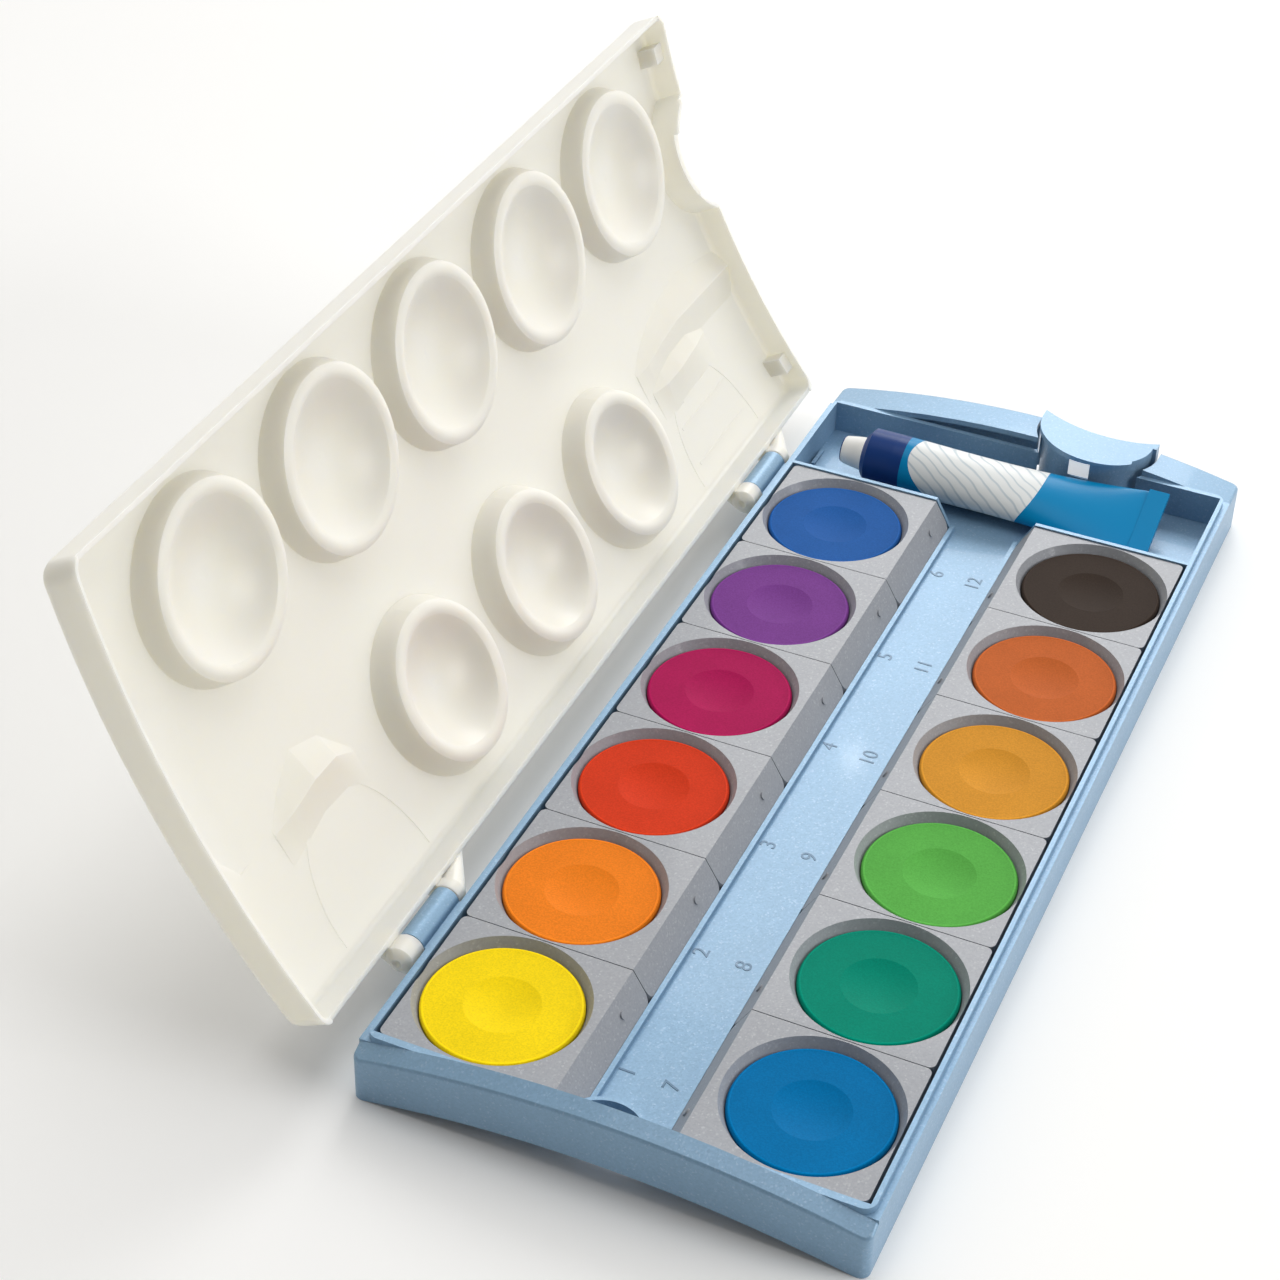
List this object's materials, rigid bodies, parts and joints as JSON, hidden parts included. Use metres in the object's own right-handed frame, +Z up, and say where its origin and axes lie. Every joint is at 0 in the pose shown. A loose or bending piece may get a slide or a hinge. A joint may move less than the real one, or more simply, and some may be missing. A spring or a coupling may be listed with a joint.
{
  "type": "gouache paint box",
  "caption": "Vaulted plastic paint box with a hinged mixing-palette lid, rows of lift-out paint pans, a tube compartment and a spring latch.",
  "frame": {"origin": "middle of the lower edge of the hinge side, on which the tray stands", "axes": "+Z up, +Y along the tray from the end with the opening in the channel to the end with the latch, -X towards the hinge side"},
  "size_m": [0.152, 0.247, 0.101],
  "materials": {
    "tray_plastic": "moulded light blue plastic with fine metallic flake",
    "lid_plastic": "moulded translucent cream plastic",
    "pan_plastic": "moulded silver-grey plastic with metallic flake",
    "tube_metal": "printed and lacquered soft aluminium",
    "cap_plastic": "moulded white plastic",
    "paint_cyan_blue": "pressed gouache tablet, matt",
    "paint_yellow": "pressed gouache tablet, matt",
    "paint_blue_green": "pressed gouache tablet, matt",
    "paint_orange": "pressed gouache tablet, matt",
    "paint_yellow_green": "pressed gouache tablet, matt",
    "paint_vermilion": "pressed gouache tablet, matt",
    "paint_ochre": "pressed gouache tablet, matt",
    "paint_magenta": "pressed gouache tablet, matt",
    "paint_burnt_sienna": "pressed gouache tablet, matt",
    "paint_violet": "pressed gouache tablet, matt",
    "paint_black": "pressed gouache tablet, matt",
    "paint_ultramarine": "pressed gouache tablet, matt"
  },
  "bodies": {
    "tray": {"tray": "tray_plastic"},
    "lid": {"palette_lid": "lid_plastic"},
    "latch": {"latch_tongue": "tray_plastic"},
    "tube": {"tube_body": "tube_metal"},
    "cap": {"tube_cap": "cap_plastic"},
    "pan_cyan_blue": {"pan_cyan_blue": "pan_plastic", "paint_cyan_blue": "paint_cyan_blue"},
    "pan_yellow": {"pan_yellow": "pan_plastic", "paint_yellow": "paint_yellow"},
    "pan_blue_green": {"pan_blue_green": "pan_plastic", "paint_blue_green": "paint_blue_green"},
    "pan_orange": {"pan_orange": "pan_plastic", "paint_orange": "paint_orange"},
    "pan_yellow_green": {"pan_yellow_green": "pan_plastic", "paint_yellow_green": "paint_yellow_green"},
    "pan_vermilion": {"pan_vermilion": "pan_plastic", "paint_vermilion": "paint_vermilion"},
    "pan_ochre": {"pan_ochre": "pan_plastic", "paint_ochre": "paint_ochre"},
    "pan_magenta": {"pan_magenta": "pan_plastic", "paint_magenta": "paint_magenta"},
    "pan_burnt_sienna": {"pan_burnt_sienna": "pan_plastic", "paint_burnt_sienna": "paint_burnt_sienna"},
    "pan_violet": {"pan_violet": "pan_plastic", "paint_violet": "paint_violet"},
    "pan_black": {"pan_black": "pan_plastic", "paint_black": "paint_black"},
    "pan_ultramarine": {"pan_ultramarine": "pan_plastic", "paint_ultramarine": "paint_ultramarine"}
  },
  "joints": [
    {"name": "lid_hinge", "type": "hinge", "parent": "tray", "child": "lid", "pos_m": [-0.00385, 0, 0.0107], "axis": [0, -1, 0], "range_deg": [-116, 0]},
    {"name": "latch_flex", "type": "hinge", "parent": "tray", "child": "latch", "pos_m": [0.06335, 0.1079, 0.0047], "axis": [-1, 0, 0], "range_deg": [0, 4.5], "stiffness_Nm_per_rad": 0.3},
    {"name": "tube_lift", "type": "slide", "parent": "tray", "child": "tube", "axis": [0, 0, 1], "range_m": [0, 0.025]},
    {"name": "cap_turn", "type": "hinge", "parent": "tube", "child": "cap", "pos_m": [0.01665, 0.0951, 0.0122], "axis": [-1, 0, 0], "range_deg": [0, 720]},
    {"name": "lift_cyan_blue", "type": "slide", "parent": "tray", "child": "pan_cyan_blue", "axis": [0, 0, 1], "range_m": [0, 0.014]},
    {"name": "lift_yellow", "type": "slide", "parent": "tray", "child": "pan_yellow", "axis": [0, 0, 1], "range_m": [0, 0.014]},
    {"name": "lift_blue_green", "type": "slide", "parent": "tray", "child": "pan_blue_green", "axis": [0, 0, 1], "range_m": [0, 0.014]},
    {"name": "lift_orange", "type": "slide", "parent": "tray", "child": "pan_orange", "axis": [0, 0, 1], "range_m": [0, 0.014]},
    {"name": "lift_yellow_green", "type": "slide", "parent": "tray", "child": "pan_yellow_green", "axis": [0, 0, 1], "range_m": [0, 0.014]},
    {"name": "lift_vermilion", "type": "slide", "parent": "tray", "child": "pan_vermilion", "axis": [0, 0, 1], "range_m": [0, 0.014]},
    {"name": "lift_ochre", "type": "slide", "parent": "tray", "child": "pan_ochre", "axis": [0, 0, 1], "range_m": [0, 0.014]},
    {"name": "lift_magenta", "type": "slide", "parent": "tray", "child": "pan_magenta", "axis": [0, 0, 1], "range_m": [0, 0.014]},
    {"name": "lift_burnt_sienna", "type": "slide", "parent": "tray", "child": "pan_burnt_sienna", "axis": [0, 0, 1], "range_m": [0, 0.014]},
    {"name": "lift_violet", "type": "slide", "parent": "tray", "child": "pan_violet", "axis": [0, 0, 1], "range_m": [0, 0.014]},
    {"name": "lift_black", "type": "slide", "parent": "tray", "child": "pan_black", "axis": [0, 0, 1], "range_m": [0, 0.014]},
    {"name": "lift_ultramarine", "type": "slide", "parent": "tray", "child": "pan_ultramarine", "axis": [0, 0, 1], "range_m": [0, 0.014]}
  ]
}
